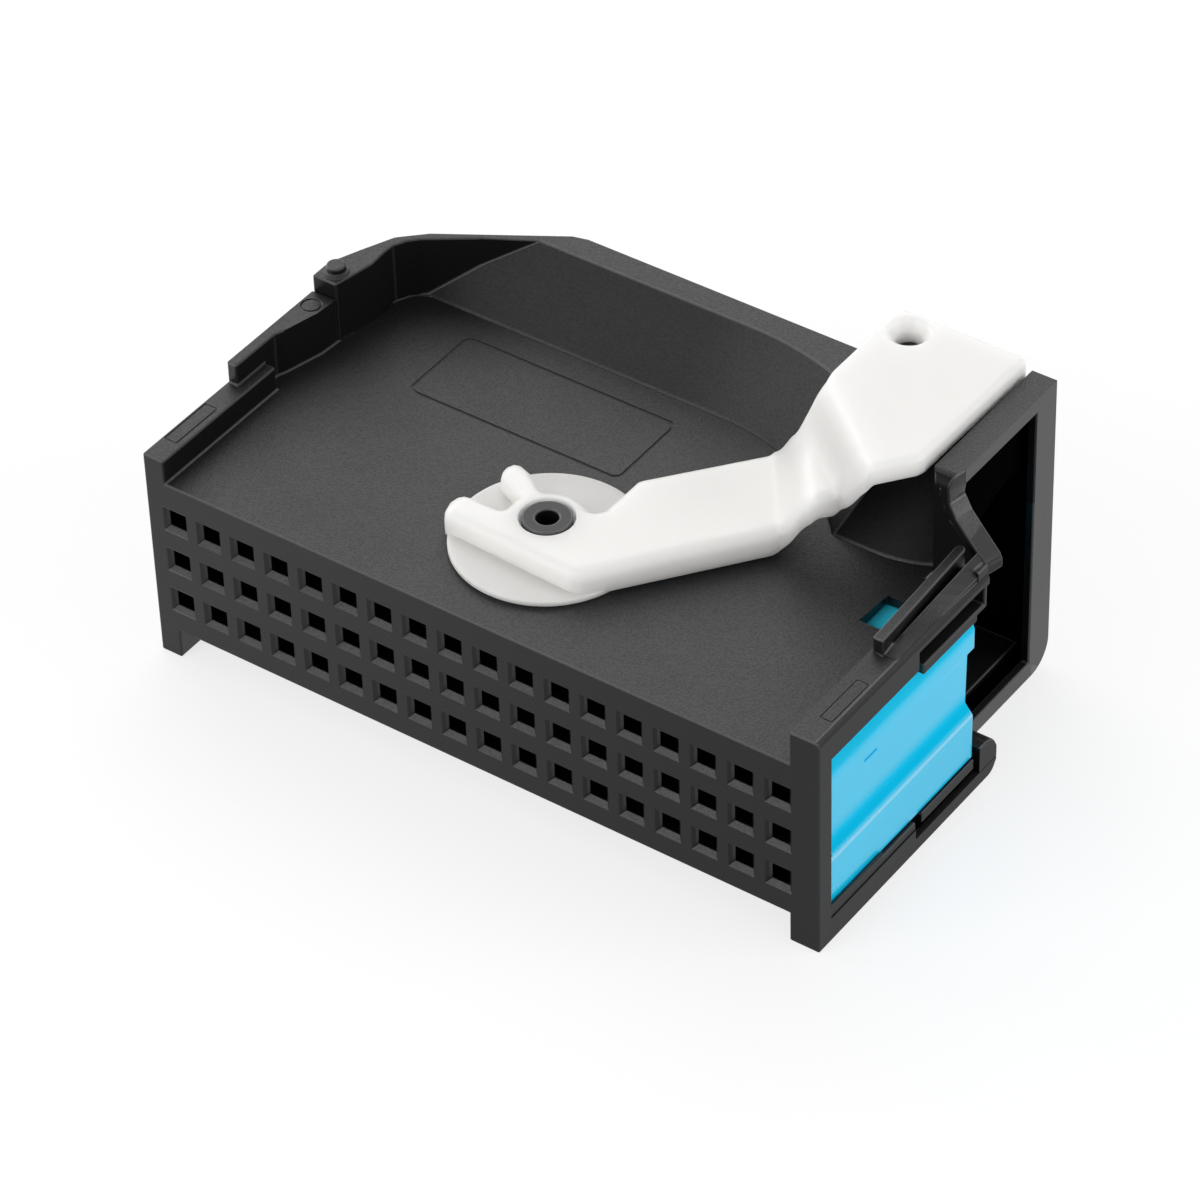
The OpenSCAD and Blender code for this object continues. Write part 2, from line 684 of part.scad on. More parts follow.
module lever_arm() {
    claws = [[-8.3, -4.7], [-8.9, -3.85], [-9.2, -2.8], [-9.05, -1.85], [-8.5, -1.2], [-7.7,
        -1.04], [-4.3, -1.1],
        [-4.3, 1.4], [-7.45, 2.9], [-7.8, 3.6], [-7.85, 4.2], [-7.45, 5.05], [-6.6, 5.3], [-5.3,
        4.85], [-4, 3.95],
        [-2.9, 3.2], [0, 1.1], [2.6, 3.3], [3.1, 3.5], [3.5, 4.1], [3.55, 9.1], [3.9, 9.7]];
    front = [[7.45, -4.9], [6.4, -5.4]];
    translate([0, 0, arm_z - arm_t]) linear_extrude(arm_t)
        polygon(concat([for (c = claws) c + [pivot_x, pivot_y]], [[inner_1[0], inner_1[1]],
        [outer_1[0], outer_1[1]]],
            [for (c = front) c + [pivot_x, pivot_y]]));
    at_pivot(arm_z - arm_t) cylinder(r = hub_r, h = arm_t, $fn = 90);
    at_pivot(disc_z) cylinder(r = disc_r, h = disc_t, $fn = 120);
}

// double crank between the arm and the handle, with upright sides
module lever_crank() {
    sink = 0.02;
    outer = [outer_1 - sink * (outer_2 - outer_1), outer_1, outer_2, outer_3, outer_4,
        outer_4 + [0, 0.6, -sink]];
    inner = [inner_1 - sink * (inner_2 - inner_1) + sink * (outer_1 - inner_1), inner_1, inner_2, inner_4,
        inner_4 + [0.3, 0.6, -sink]];
    outer_t = [0.4, 0.4, 0.3, 0.2, 0.2, 0];
    inner_t = [0.4, 0.4, 0.3, 0.2, 0];
    low_outer = [for (i = [0 : 5]) outer[i] - [0, 0, handle_t + outer_t[i]]];
    low_inner = [for (i = [0 : 4]) inner[i] - [0, 0, handle_t + inner_t[i]]];
    top = [[7, 1, 0], [6, 7, 0], [8, 2, 1], [7, 8, 1], [8, 3, 2], [9, 4, 3], [8, 9, 3], [10, 5, 4],
        [9, 10, 4]];
    rim = [0, 1, 2, 3, 4, 5, 10, 9, 8, 7, 6];
    n = len(rim);
    under = [for (f = top) [f[2] + n, f[1] + n, f[0] + n]];
    side = [for (i = [0 : n - 1]) let (a = rim[i], b = rim[(i + 1) % n]) [b, b + n, a + n, a]];
    polyhedron(points = concat(outer, inner, low_outer, low_inner), faces = concat(top, under, side));
}

module lever_handle() {
    x0 = inner_4[0];
    x1 = collar_in - 0.4;
    r = 1.2;
    translate([0, 0, handle_z - handle_t]) linear_extrude(handle_t) union() {
        polygon([[x0, inner_4[1]], [outer_4[0], outer_4[1]], [collar_in - 1, body_d - 18],
            [collar_in - 0.7, body_d - 17.2],
            [x1, body_d - r], [x1 - r, body_d], [x0 + r, body_d], [x0, body_d - r]]);
        translate([x0 + r, body_d - r]) circle(r = r, $fn = 40);
        translate([x1 - r, body_d - r]) circle(r = r, $fn = 40);
    }
}

module lever() {
    color([0.93, 0.93, 0.91]) placed() difference() {
        union() {
            lever_arm();
            lever_crank();
            lever_handle();
        }
        at_pivot(disc_z - 1) cylinder(r = pin_d / 2 + run_gap, h = 8, $fn = 60);
        at_pivot(seat_z) cylinder(r = head_d / 2 + head_gap, h = 5, $fn = 60);
        translate([hole_x, hole_y, handle_z - handle_t - 1])
            cylinder(d = pull_d, h = handle_t + 2, $fn = 60);
        translate([hole_x, hole_y, handle_z - 0.6])
            cylinder(d1 = pull_d, d2 = 2 * pull_sink - pull_d, h = 1.2, $fn = 60);
    }
}

module pivot_pin() {
    color([0.17, 0.17, 0.175]) placed() at_pivot(0) difference() {
        union() {
            translate([0, 0, floor_b + 0.05]) cylinder(d = pin_d, h = head_z - floor_b - 0.1, $fn = 60);
            translate([0, 0, head_z - head_h]) cylinder(d = head_d, h = head_h, $fn = 60);
        }
        cylinder(d = pin_hole, h = 60, $fn = 60);
    }
}

housing();
wire_cover();
contact_carrier();
lever();
pivot_pin();
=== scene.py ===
"""Finishes, rounded edges, camera and studio for the lever-locked wiring connector.

Lengths on the panel are in millimetres where they say so; Blender's own units are metres.
"""

import json
import math

import bmesh
import bpy
import numpy as np
from bpy.props import FloatProperty, FloatVectorProperty, PointerProperty
from mathutils import Euler, Matrix, Vector
from mathutils.geometry import delaunay_2d_cdt


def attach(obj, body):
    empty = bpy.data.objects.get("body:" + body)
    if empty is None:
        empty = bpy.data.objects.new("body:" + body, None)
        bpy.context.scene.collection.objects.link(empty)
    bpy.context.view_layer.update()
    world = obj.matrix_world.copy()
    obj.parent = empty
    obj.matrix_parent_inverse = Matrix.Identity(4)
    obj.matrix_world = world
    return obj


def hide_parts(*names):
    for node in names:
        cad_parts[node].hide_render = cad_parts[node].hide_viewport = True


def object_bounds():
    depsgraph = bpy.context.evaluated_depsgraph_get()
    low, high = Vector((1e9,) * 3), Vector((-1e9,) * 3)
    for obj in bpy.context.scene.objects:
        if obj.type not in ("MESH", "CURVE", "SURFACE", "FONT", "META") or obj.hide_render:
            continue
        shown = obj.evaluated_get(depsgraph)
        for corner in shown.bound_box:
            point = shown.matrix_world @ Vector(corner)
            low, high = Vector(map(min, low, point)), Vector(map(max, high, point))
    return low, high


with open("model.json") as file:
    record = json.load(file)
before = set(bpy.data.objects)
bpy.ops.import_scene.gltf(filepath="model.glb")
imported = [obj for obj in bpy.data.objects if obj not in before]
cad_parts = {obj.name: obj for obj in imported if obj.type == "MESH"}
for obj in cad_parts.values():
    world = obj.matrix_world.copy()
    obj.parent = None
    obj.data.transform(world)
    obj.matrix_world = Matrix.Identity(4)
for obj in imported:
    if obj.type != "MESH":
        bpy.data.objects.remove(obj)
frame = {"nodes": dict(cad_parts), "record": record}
CAD_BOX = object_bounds()

bl_info = {
    "name": "Wiring connector finishes",
    "version": (1, 0, 0),
    "blender": (4, 5, 0),
    "location": "3D View > Sidebar > Connector",
    "description": "Dresses the packed wiring connector and sets up its studio",
    "category": "Object",
}

MM = 0.001
# the part's box in mm: its mating face, its right end, its top and its depth
FRONT = round(CAD_BOX[0][1] / MM, 3)
RIGHT = round(CAD_BOX[1][0] / MM, 3)
TOP = round(CAD_BOX[1][2] / MM, 3)
DEPTH = round((CAD_BOX[1][1] - CAD_BOX[0][1]) / MM, 3)
# top of the housing's floor under the lever, in mm
FLOOR_LEVEL = 21.4
WHITE = (1.0, 1.0, 1.0, 1.0)


# shader maths

class Wire:
    """A node's output that takes part in arithmetic; each operation adds a Math node."""

    def __init__(self, finish, socket):
        self.finish = finish
        self.socket = socket

    def also(self, name):
        """Another output of the same node."""
        return Wire(self.finish, self.socket.node.outputs[name])

    def math(self, operation, first, second):
        return self.finish.node("ShaderNodeMath", {"operation": operation}, {0: first, 1: second})

    def __add__(self, other):
        return self.math("ADD", self, other)

    __radd__ = __add__

    def __sub__(self, other):
        return self.math("SUBTRACT", self, other)

    def __rsub__(self, other):
        return self.math("SUBTRACT", other, self)

    def __mul__(self, other):
        return self.math("MULTIPLY", self, other)

    __rmul__ = __mul__

    def above(self, edge, soft):
        """0 below the edge, 1 above it, with a soft step between."""
        return self.finish.node(
            "ShaderNodeMapRange",
            {"interpolation_type": "SMOOTHSTEP"},
            {"Value": self, "From Min": edge - soft, "From Max": edge + soft},
        )

    def between(self, low, high, soft):
        """1 between two values and 0 outside them."""
        return self.above(low, soft) * (1 - self.above(high, soft))

    def largest(self, other):
        return self.math("MAXIMUM", self, other)


class Finish:
    """The nodes of one material or world, with the shader that its wires lead to."""

    def __init__(self, owner):
        self.owner = owner
        self.owner.use_nodes = True
        self.tree = self.owner.node_tree
        self.tree.nodes.clear()

    def node(self, kind, settings=None, sockets=None, out=0):
        """Adds a node: its settings first, then the values or links of its sockets."""
        made = self.tree.nodes.new(kind)
        for name, value in (settings or {}).items():
            setattr(made, name, value)
        for name, value in (sockets or {}).items():
            if isinstance(value, Wire):
                self.tree.links.new(value.socket, made.inputs[name])
            else:
                made.inputs[name].default_value = value
        return Wire(self, made.outputs[out]) if made.outputs else None

    def places(self):
        """Object coordinates in millimetres."""
        coords = self.node("ShaderNodeTexCoord", out="Object")
        return self.node(
            "ShaderNodeVectorMath",
            {"operation": "SCALE"},
            {"Vector": coords, "Scale": 1 / MM},
        )

    def split(self, vector):
        """The X, Y and Z parts of a vector."""
        parts = self.node("ShaderNodeSeparateXYZ", None, {"Vector": vector})
        return parts, parts.also("Y"), parts.also("Z")

    def noise(self, places, scale, detail=2.0, rough=0.5):
        return self.node(
            "ShaderNodeTexNoise",
            {"noise_dimensions": "3D"},
            {"Vector": places, "Scale": scale, "Detail": detail, "Roughness": rough},
        )

    def mix(self, factor, first, second):
        """A colour between two colours."""
        return self.node(
            "ShaderNodeMix",
            {"data_type": "RGBA"},
            {0: factor, 6: first, 7: second},
            out=2,
        )

    def bump(self, height, depth, strength=1.0, under=None):
        sockets = {"Height": height, "Distance": depth * MM, "Strength": strength}
        if under is not None:
            sockets["Normal"] = under
        return self.node("ShaderNodeBump", None, sockets)

    def plastic(self, **sockets):
        """A Principled shader; names are its sockets with _ for a space."""
        named = {key.replace("_", " "): value for key, value in sockets.items()}
        return self.node("ShaderNodeBsdfPrincipled", None, named)

    def blend(self, factor, first, second):
        """A shader between two shaders."""
        return self.node("ShaderNodeMixShader", None, {0: factor, 1: first, 2: second})

    def surface(self, shader, kind="Material"):
        """Ends the nodes with a shader, and gives back the material or world."""
        self.node("ShaderNodeOutput" + kind, None, {"Surface": shader})
        return self.owner


def new_finish(name):
    return Finish(bpy.data.materials.new(name))


def tone(colour, factor):
    """A written colour made lighter or darker, as four numbers for a socket."""
    return tuple(min(1.0, part * factor) for part in colour[:3]) + (1.0,)


def inside(axes, box):
    """1 inside a box and 0 outside it."""
    x, y, z = (axis.between(*limits) for axis, limits in zip(axes, box))
    return x * y * z


def seen_rays(finish):
    """1 for the rays that show the backdrop: straight, mirrored or let through."""
    path = finish.node("ShaderNodeLightPath", out="Is Camera Ray")
    return path.largest(path.also("Is Glossy Ray")).largest(path.also("Is Transmission Ray"))


# finishes

# places with painted shade, a dark skin without sheen, in mm: lowest, highest and softness along
# X, Y and Z
OUTLET = ((31.1, 32.83, 0.02), (7.3, 21.6, 0.02), (1.0, 33.2, 0.02))
DUCT_WALL = ((16.0, 40.0, 0.5), (20.9, 21.6, 0.05), (1.0, 28.0, 0.5))
CAVITIES = ((-36.3, 34.0, 0.1), (FRONT + 0.6, 5.0, 0.02), (4.7, 20.1, 0.1))
# share of dull skin on the black mouldings: painted shade, which takes sheen off where shade
# falls, and the grain's own dull pits
WALLS_SHADE = 0.9
RAMP_SHADE = 0.47
BULGE_SHADE = 0.8
END_SHADE = 0.52
FRONT_SHADE = 0.22
FRONT_SHADE_RISE = 0.28
PITS_DULL = 0.22
# painted highlight: how many times lighter the cavities' lower chamfers are than the faces
CHAMFER_HIGHLIGHT = 6.0
# the carrier in mm: its rims, which get a painted highlight, the stretch under the floor's
# window, which gets painted light, and the shoulder's corner, which gets painted shade
SHOULDER_RIM = (8.5, 9.4, 0.1)
BAND_RIM = (16.8, 17.4, 0.1)
WINDOW_X = (20.0, 33.5, 0.1)
WINDOW_Z = (19.4, 0.1)
CORNER_LOW = (9.3, 0.25)
CORNER_HIGH = (10.9, 1.2)
# painted shade on the carrier's top: where it starts, and its share
CARRIER_TOP = (19.2, 0.9)
CARRIER_TOP_SHADE = 0.85
# painted light under the floor's window
WINDOW_PAINTED_BLUE = (0.05, 0.75, 1.0, 1.0)
# painted highlight along the rims, and how strong it is
RIM_HIGHLIGHT_BLUE = (0.8, 0.95, 1.0, 1.0)
RIM_HIGHLIGHT_SHARE = 0.3


def painted_shade_inside(axes, facing):
    """Painted shade: 1 inside the wire outlet, on the duct's rear wall and in the cavities, where
    a dark skin without sheen stands in for shade.
    """
    duct = (1 - facing[1].above(-0.7, 0.1)) * inside(axes, DUCT_WALL)
    return inside(axes, OUTLET).largest(duct).largest(inside(axes, CAVITIES))


def shade_and_pits_share(axes, facing, matte, pits):
    """Share of dull skin: painted shade, with sheen taken off, on the ramp with its bulge, the
    walls beside the lever, the open end and the front, more towards the right; and the pits of
    the grain, which are dull in their own right."""
    x, y, z = axes
    right, back, _ = facing
    raised = z.above(FLOOR_LEVEL + 0.2, 0.1)
    walls = WALLS_SHADE * right.above(0.2, 0.1) * raised * (1 - x.above(0.0, 0.5))
    ramp = (1 - back.above(-0.4, 0.05)) * right.above(-0.25, 0.1) * raised * y.above(0.0, 0.5)
    ramp = ramp * (RAMP_SHADE * (1 - x.above(3.0, 7.0)) + BULGE_SHADE * x.above(16.5, 1.5))
    end = END_SHADE * right.above(0.7, 0.1) * x.above(RIGHT - 2.3, 0.1)
    front = (FRONT_SHADE + FRONT_SHADE_RISE * x.above(0.0, 40.0)) * (1 - y.above(FRONT + 0.3, 0.02))
    open_faces = (ramp + pits * (1 - ramp)).largest(walls)
    return open_faces.largest(end).largest(front * (1 - matte))


def black_moulding(name, colour, look, edge_highlight=1.0):
    """Glass-filled black plastic: matte spark-eroded grain on the faces that look up, smoother
    walls, painted shade as a dark skin without sheen inside the wire outlet and the cavities,
    less sheen as painted shade where shade falls, and a painted highlight on the cavities'
    up-facing chamfers.
    An edge highlight above 1 paints rounded edges lighter, most of all where they look up."""
    finish = new_finish(name)
    places = finish.places()
    axes = finish.split(places)
    facing = finish.split(finish.node("ShaderNodeNewGeometry", out="True Normal"))
    _, y, z = axes
    up = facing[2]
    grain = finish.noise(places, look.grain_scale, 3.0, 0.6)
    cloud = finish.noise(places, 0.09, 3.0)
    speck = finish.noise(places, look.grain_scale * 0.35, 1.0)
    matte = up.above(0.45, 0.15)
    shade = 0.35 * cloud + 0.35 * grain + 0.3 * speck
    # painted highlight: the cavities' up-facing chamfers are made lighter
    lit_chamfers = up.above(0.4, 0.1) * (1 - y.above(FRONT + 0.6, 0.02)) * (1 - z.above(20.6, 0.1))
    base = finish.mix(shade, tone(colour, 0.7), tone(colour, 1.35))
    base = finish.mix(lit_chamfers, base, tone(colour, CHAMFER_HIGHLIGHT))
    # painted highlight: rounded edges made lighter, most where they look up
    if edge_highlight > 1.0:
        base = finish.mix(0.2 + 0.8 * up.above(0.3, 0.2), base, tone(colour, edge_highlight))
    rough = look.black_rough + 0.16 * matte + 0.12 * (cloud - 0.5) + 0.06 * (grain - 0.5)
    bumped = finish.bump(grain * (0.4 + 0.6 * matte), look.grain_depth)
    bumped = finish.bump(cloud, 0.05, 0.6, under=bumped)
    skin = finish.plastic(
        Base_Color=base, Roughness=rough, Normal=bumped, IOR=1.5, Specular_IOR_Level=0.43,
    )
    # painted shade: a copy of the skin with little sheen, also for the grain's dull pits
    dull_and_shaded = finish.plastic(
        Base_Color=base, Roughness=0.8, Normal=bumped, IOR=1.5, Specular_IOR_Level=0.06,
    )
    # painted shade: a dark copy without sheen for the outlet, duct wall and cavities
    shade_skin = finish.plastic(
        Base_Color=tone(colour, 0.3), Roughness=0.9, IOR=1.5, Specular_IOR_Level=0.0,
    )
    pits = PITS_DULL * matte * grain.above(0.52, 0.1)
    shader = finish.blend(shade_and_pits_share(axes, facing, matte, pits), skin, dull_and_shaded)
    return finish.surface(finish.blend(painted_shade_inside(axes, facing), shader, shade_skin))


def white_plastic(colour, look):
    """Unfilled white plastic, slightly translucent, with a satin skin."""
    finish = new_finish("white_satin_plastic")
    places = finish.places()
    cloud = finish.noise(places, 0.12, 3.0)
    skin = finish.noise(places, look.grain_scale * 0.6, 2.0)
    base = finish.mix(cloud, tone(colour, 0.965), tone(colour, 1.02))
    rough = look.white_rough + 0.12 * (cloud - 0.5) + 0.05 * (skin - 0.5)
    return finish.surface(finish.plastic(
        Base_Color=base, Roughness=rough, Normal=finish.bump(skin, 0.006), IOR=1.48,
        Subsurface_Weight=0.8, Subsurface_Radius=(0.9, 0.95, 1.0), Subsurface_Scale=3.5 * MM,
    ))


def blue_plastic(name, colour, look, rim_highlight=0.0):
    """Bright blue moulding with a smooth skin: painted shade as no sheen in the shoulder's corner
    and on top, painted light as a lighter blue under the floor's window, and a painted highlight
    as a paler blue along its rims by the rim highlight."""
    finish = new_finish(name)
    places = finish.places()
    x, _, z = finish.split(places)
    cloud = finish.noise(places, 0.15, 3.0)
    skin = finish.noise(places, look.grain_scale * 0.6, 2.0)
    base = finish.mix(cloud, tone(colour, 0.95), tone(colour, 1.04))
    # painted light: lighter blue under the floor's window
    base = finish.mix(x.between(*WINDOW_X) * z.above(*WINDOW_Z), base, WINDOW_PAINTED_BLUE)
    if rim_highlight:
        # painted highlight along the shoulder's and the band's rims
        highlit_rims = z.between(*SHOULDER_RIM).largest(z.between(*BAND_RIM))
        base = finish.mix(rim_highlight * highlit_rims, base, RIM_HIGHLIGHT_BLUE)
    rough = look.blue_rough + 0.08 * (cloud - 0.5) + 0.05 * (skin - 0.5)
    bumped = finish.bump(skin, 0.004)
    bright = finish.plastic(Base_Color=base, Roughness=rough, Normal=bumped, IOR=1.5)
    shaded_blue = finish.plastic(
        Base_Color=base, Roughness=rough, Normal=bumped, IOR=1.5, Specular_IOR_Level=0.0,
    )
    # painted shade: no sheen in the shoulder's corner and on the top
    corner = z.above(*CORNER_LOW) * (1 - z.above(*CORNER_HIGH))
    factor = corner.largest(CARRIER_TOP_SHADE * z.above(*CARRIER_TOP))
    return finish.surface(finish.blend(factor, bright, shaded_blue))


def pin_black(name, colour, look):
    """Smooth black plastic with a slightly uneven sheen."""
    finish = new_finish(name)
    places = finish.places()
    cloud = finish.noise(places, 0.6, 3.0)
    skin = finish.noise(places, look.grain_scale, 2.0)
    base = finish.mix(cloud, tone(colour, 0.8), tone(colour, 1.2))
    rough = look.pin_rough + 0.15 * (cloud - 0.5)
    return finish.surface(finish.plastic(
        Base_Color=base, Roughness=rough, Normal=finish.bump(skin, 0.006), IOR=1.5,
        Specular_IOR_Level=0.35,
    ))


# rounded mouldings

SHARP = math.radians(20.0)
FLAT = math.radians(0.3)
FOLDED = math.radians(150.0)
WELD = 2e-6
TINY = 1e-18
# the least area of a face that no round has, in square metres
BROAD = 0.5e-6
# how much of the free width a round takes, and the least share of the radius that is kept
ROOM_SHARE = 0.4
LEAST_ROUND = 0.2
# the front cavities' edges in mm: reach to either side, depth, lowest and highest
CAVITY_REACH, CAVITY_BACK, CAVITY_LOW, CAVITY_TOP = 36.0, -20.0, 4.8, 20.3
# how close to the floor's level a seam lies, in mm
SEAM = 0.03
# how often folds are looked for, and how many radii from one the rounding is taken off
FOLD_TRIES = 4
FOLD_REACH = 2.5
PIN_EDGE = 0.2
PIN_STEPS = 3


def sharp_edges(bm):
    return {e for e in bm.edges if len(e.link_faces) == 2 and e.calc_face_angle(0) > SHARP}


def joined(start, neighbours):
    """Groups of items that can be reached from each other."""
    seen, groups = set(), []
    for first in start:
        if first in seen:
            continue
        seen.add(first)
        group, stack = [], [first]
        while stack:
            item = stack.pop()
            group.append(item)
            for other in neighbours(item):
                if other not in seen:
                    seen.add(other)
                    stack.append(other)
        groups.append(group)
    return groups


def regions(bm, sharp):
    """Faces that meet without a sharp edge between them."""
    return joined(bm.faces, lambda face: [
        other for edge in face.edges if edge not in sharp for other in edge.link_faces
    ])


def rim_count(region, sharp):
    """How many separate rims bound a region: one, or more where it has holes."""
    rim = {edge for face in region for edge in face.edges if edge in sharp}
    return len(joined(rim, lambda edge: [
        other for vert in edge.verts for other in vert.link_edges if other in rim
    ]))


def merge_flat_regions(bm):
    """One face for each flat region without holes, tidy triangles for the others."""
    sharp = sharp_edges(bm)
    for region in regions(bm, sharp):
        normal = region[0].normal.copy()
        if len(region) < 2 or any(face.normal.angle(normal, 0) > FLAT for face in region):
            continue
        if rim_count(region, sharp) == 1:
            bmesh.ops.dissolve_faces(bm, faces=region, use_verts=False)
        else:
            inner = dict.fromkeys(e for face in region for e in face.edges if e not in sharp)
            bmesh.ops.beautify_fill(bm, faces=region, edges=list(inner), method="ANGLE")


def gap_to_segment(point, low, high):
    """From a point to the nearest place on a straight stretch."""
    line = high - low
    part = (point - low).dot(line) / max(line.length_squared, TINY)
    return low + line * min(1.0, max(0.0, part)) - point


def room_beside(bm, sharp, most):
    """The free width beside each sharp edge, up to the next sharp edge on its faces."""
    room = dict.fromkeys(sharp, most)
    for region in regions(bm, sharp):
        rim = [(loop, face) for face in region for loop in face.loops if loop.edge in sharp]
        for loop, face in rim:
            start = loop.vert.co
            along = loop.link_loop_next.vert.co - start
            inward = face.normal.cross(along).normalized()
            for share in (0.1, 0.5, 0.9):
                point = start + along * share
                for other, _ in rim:
                    if other.edge is loop.edge:
                        continue
                    gap = gap_to_segment(point, other.vert.co, other.link_loop_next.vert.co)
                    if gap.length < room[loop.edge] and gap.dot(inward) > 0.35 * gap.length:
                        room[loop.edge] = gap.length
    return room


def folds(obj):
    """Middles of edges at which the rounded mesh folds back on itself."""
    rounded = obj.evaluated_get(bpy.context.evaluated_depsgraph_get())
    bm = bmesh.new()
    bm.from_mesh(rounded.to_mesh())
    found = [
        (e.verts[0].co + e.verts[1].co) / 2 for e in bm.edges
        if len(e.link_faces) == 2 and e.calc_face_angle(0) > FOLDED
    ]
    bm.free()
    rounded.to_mesh_clear()
    return found


def unround_folds(obj, width):
    """Takes the rounding off edges beside a fold."""
    mesh = obj.data
    for _ in range(FOLD_TRIES):
        spots = folds(obj)
        if not spots:
            break
        layer = mesh.attributes["bevel_weight_edge"].data
        for edge in mesh.edges:
            low, high = (mesh.vertices[i].co for i in edge.vertices)
            if layer[edge.index].value and any(
                gap_to_segment(spot, low, high).length < FOLD_REACH * width for spot in spots
            ):
                layer[edge.index].value = 0.0


def crisp(edge, node):
    """Edges that stay sharp: inside the front cavities and where the cover meets the floor."""
    ends = [vert.co / MM for vert in edge.verts]
    at_floor = all(abs(end.z - FLOOR_LEVEL) < SEAM for end in ends)
    if node == "wire_cover":
        return at_floor
    if node != "housing":
        return False
    seam = at_floor and all(end.y > 0 for end in ends) and edge.is_convex
    return seam or all(
        abs(end.x) < CAVITY_REACH and end.y < CAVITY_BACK and CAVITY_LOW < end.z < CAVITY_TOP
        for end in ends
    )


def broad_and_square(face):
    """A face that lies square to the part and is too large to belong to a round."""
    square = max(abs(part) for part in face.normal) > 0.9999
    return square and face.calc_area() > BROAD


def loose_object(name, bm):
    """An object in the scene, from a mesh that has been edited."""
    mesh = bpy.data.meshes.new(name)
    bm.to_mesh(mesh)
    bm.free()
    obj = bpy.data.objects.new(name, mesh)
    bpy.context.scene.collection.objects.link(obj)
    return obj


def rounded_moulding(name, node, radius, segments=2):
    """A copy of a CAD node's mesh with its edges rounded as far as there is room."""
    bm = bmesh.new()
    bm.from_mesh(frame["nodes"][node].data)
    weights = bm.edges.layers.float.new("bevel_weight_edge")
    bmesh.ops.remove_doubles(bm, verts=bm.verts, dist=WELD)
    bmesh.ops.dissolve_degenerate(bm, edges=bm.edges, dist=WELD)
    merge_flat_regions(bm)
    width = radius * MM
    sharp = sharp_edges(bm)
    for edge, room in room_beside(bm, sharp, 10 * width).items():
        weight = min(1.0, ROOM_SHARE * room / width)
        edge[weights] = weight if weight > LEAST_ROUND and not crisp(edge, node) else 0.0
    for region in regions(bm, sharp):
        normal = region[0].normal
        curved = any(face.normal.angle(normal, 0) > FLAT for face in region)
        for face in region:
            face.smooth = curved and not broad_and_square(face)
    obj = loose_object(name, bm)
    step = obj.modifiers.new("round_edges", "BEVEL")
    step.limit_method = "WEIGHT"
    step.width = width
    step.segments = segments
    step.use_clamp_overlap = False
    step.loop_slide = False
    step.material = 1
    step.face_strength_mode = "FSTR_ALL"
    unround_folds(obj, width)
    flatten = obj.modifiers.new("flat_faces", "WEIGHTED_NORMAL")
    flatten.keep_sharp = True
    flatten.weight = 100
    flatten.use_face_influence = True
    mark_sharp(obj.data)
    return obj


def mark_sharp(mesh):
    """Sharp shading at edges that keep no rounding."""
    bm = bmesh.new()
    bm.from_mesh(mesh)
    weights = bm.edges.layers.float.get("bevel_weight_edge")
    for edge in sharp_edges(bm):
        edge.smooth = edge[weights] > 0.0
    bm.to_mesh(mesh)
    bm.free()


def dress(obj, node, slot, *materials):
    """Puts a finished piece in the place of its CAD node; a second material is for its edges."""
    obj.data.materials.clear()
    for material in materials:
        obj.data.materials.append(material)
    for body, members in frame["record"]["behaviour"]["bodies"].items():
        if node in members:
            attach(obj, body)
    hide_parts(node)


# lever

def plan_place(entries, name):
    """Plan place of a joint or mount of the record, in mm, with Y from the mating face."""
    x, y, _ = next(entry["pos_m"] for entry in entries if entry["name"] == name)
    return round(x / MM, 3), round(y / MM - FRONT, 3)


PIVOT = Vector(plan_place(frame["record"]["behaviour"]["joints"], "lever_pivot"))
HOLE_PLACE = plan_place(frame["record"]["mounts"], "handle_hole")
# heights and thicknesses of the lever, in mm
ARM_TOP, STEP_TOP, GRIP_TOP = 24.55, 29.7, TOP
ARM_THICK, GRIP_THICK = 2.9, 2.3
# share of the thinning at each of the crank's two rises
THINNING = (0.4, 0.6)
UNDER_EDGE = 0.3
# rounding of the grip's edges against the arm's, and the steps in a round
GRIP_EDGE = 0.6
ROUND_STEPS = 6
# spacing of points along the outline and over the face, and the face's margin inside the round
OUTLINE_STEP, FACE_STEP, FACE_MARGIN = 0.3, 0.5, 0.15
# how much of a side a corner's arc may take, and the turn between its points
CORNER_SHARE = 0.45
CORNER_TURN = math.radians(12)
LEVER_SHARP = math.radians(38.0)
CARVE_WELD = 1e-4
# hub between the claws and the neck: radius, and its arc in degrees
HUB_R = 4.1
HUB_ARC = range(128, 55, -6)
# turned forms, as radius and height
DISC = (
    (0, 21.5), (9.15, 21.5), (9.3, 21.65), (9.3, 22.0), (9.25, 22.1), (9.15, 22.15), (0, 22.15),
)
BORE = (
    (0, 20.0), (2.05, 20.0), (2.05, 23.15), (2.65, 23.15), (2.65, 24.35), (2.7, 24.48),
    (2.85, 24.56), (2.85, 26.0), (0, 26.0),
)
HANDLE_HOLE = (
    (0, 30.0), (1.3, 30.0), (1.3, 34.0), (1.36, 34.15), (1.95, 34.95), (2.1, 35.12),
    (2.3, 35.21), (2.3, 37.0), (0, 37.0),
)
